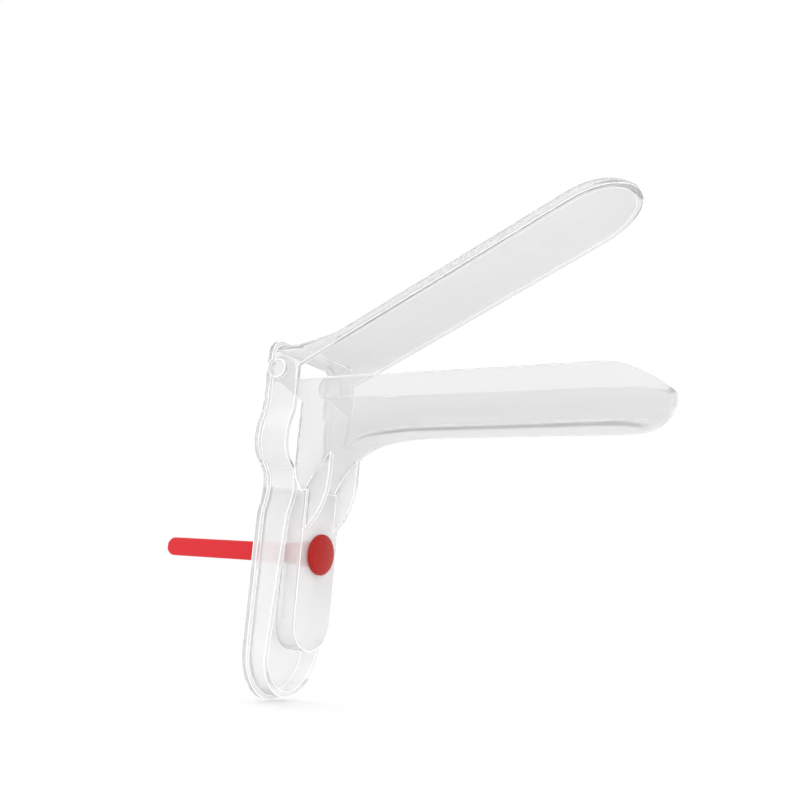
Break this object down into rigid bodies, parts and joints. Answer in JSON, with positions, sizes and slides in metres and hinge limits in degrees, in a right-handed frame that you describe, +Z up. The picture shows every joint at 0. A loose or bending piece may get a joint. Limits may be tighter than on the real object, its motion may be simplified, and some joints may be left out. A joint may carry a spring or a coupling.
{
  "type": "bivalve speculum",
  "caption": "Clear bivalve speculum: troughed blades hinged on a viewing frame, channel handles below, and a red locking peg through the handles.",
  "frame": {"origin": "under the middle of the part's box, level with the toe of the rear handle, with the blades set apart as at rest", "axes": "+X along the lower blade towards its tip, +Y to the left across the blades, +Z up along the handles towards the hinge"},
  "size_m": [0.1574, 0.0378, 0.1416],
  "materials": {
    "clear_plastic": "clear moulded polystyrene, glossy",
    "red_plastic": "opaque moulded plastic, satin gloss"
  },
  "bodies": {
    "lower": {"lower_valve": "clear_plastic"},
    "upper": {"upper_valve": "clear_plastic"},
    "peg": {"locking_peg": "red_plastic"}
  },
  "joints": [
    {"name": "blade_hinge", "type": "hinge", "parent": "lower", "child": "upper", "pos_m": [-0.03125, 0, 0.0933], "axis": [0, -1, 0], "range_deg": [-25, 1]},
    {"name": "peg_slide", "type": "slide", "parent": "lower", "child": "peg", "axis": [1, 0, 0], "range_m": [0, 0.03]}
  ]
}
